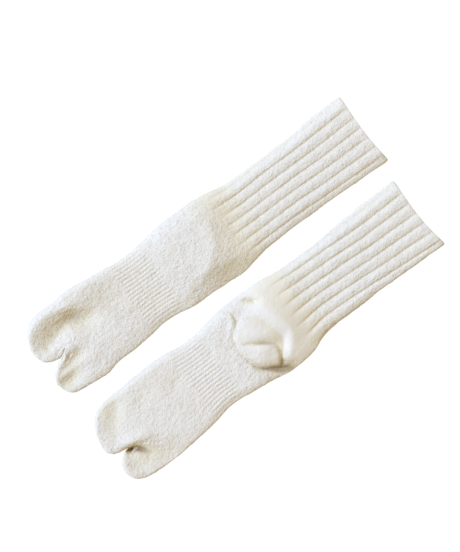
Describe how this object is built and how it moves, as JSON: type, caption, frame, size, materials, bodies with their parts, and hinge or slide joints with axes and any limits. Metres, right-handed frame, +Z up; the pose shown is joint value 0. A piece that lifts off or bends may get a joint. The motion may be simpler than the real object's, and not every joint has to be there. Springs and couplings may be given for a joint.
{
  "type": "pair of tabi socks",
  "caption": "Pair of thick cream pile-knit tabi socks with ribbed legs and parted toes, laid flat side by side, one instep up and one sole up.",
  "frame": {"origin": "middle of the pair's box, on the surface that the socks lie on", "axes": "+X along the socks from the toes to the cuffs, +Y across them towards the right sock, whose big toe is on its -Y side, +Z up"},
  "size_m": [0.4006, 0.1996, 0.0244],
  "materials": {
    "pile_knit": "soft matte undyed cotton pile knit"
  },
  "bodies": {
    "root": {"right_sock": "pile_knit", "left_sock": "pile_knit"}
  },
  "joints": []
}
